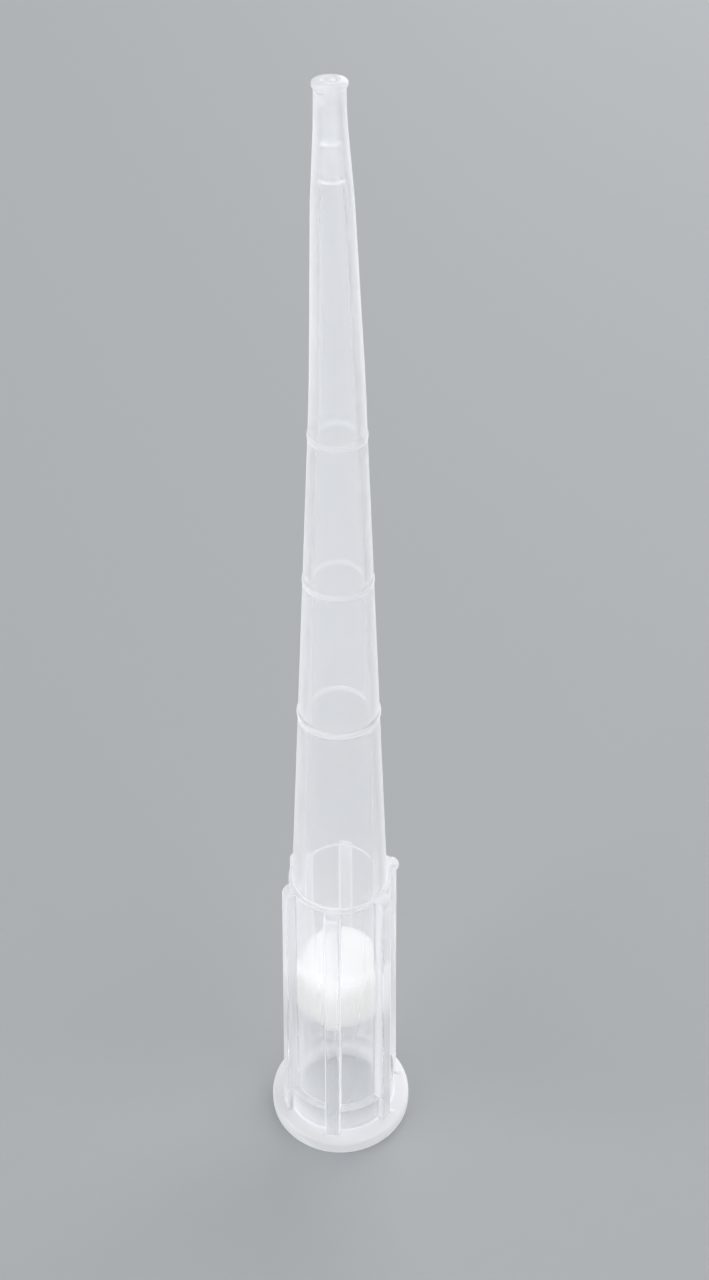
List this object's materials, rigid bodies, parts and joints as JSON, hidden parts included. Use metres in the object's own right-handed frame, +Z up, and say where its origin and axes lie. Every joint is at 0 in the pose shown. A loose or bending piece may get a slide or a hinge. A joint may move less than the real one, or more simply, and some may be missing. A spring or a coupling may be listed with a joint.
{
  "type": "pipette tip",
  "caption": "Slender tapered filter pipette tip with a ribbed hub, a flanged open mouth, ring graduations and a porous plug inside, standing on its flange.",
  "frame": {"origin": "centre of the rest face, in the plane of the open mouth", "axes": "+Z up from the open flanged mouth to the orifice; one rib lies on -Y, and the nose leans 1.15 degrees towards -X"},
  "size_m": [0.0078, 0.0078, 0.0585],
  "materials": {
    "natural_polypropylene": "undyed translucent moulded polypropylene, smooth and softly glossy",
    "porous_polyethylene": "opaque white sintered porous polyethylene, matt and finely grained"
  },
  "bodies": {
    "root": {"tip_body": "natural_polypropylene", "filter": "porous_polyethylene"}
  },
  "joints": []
}
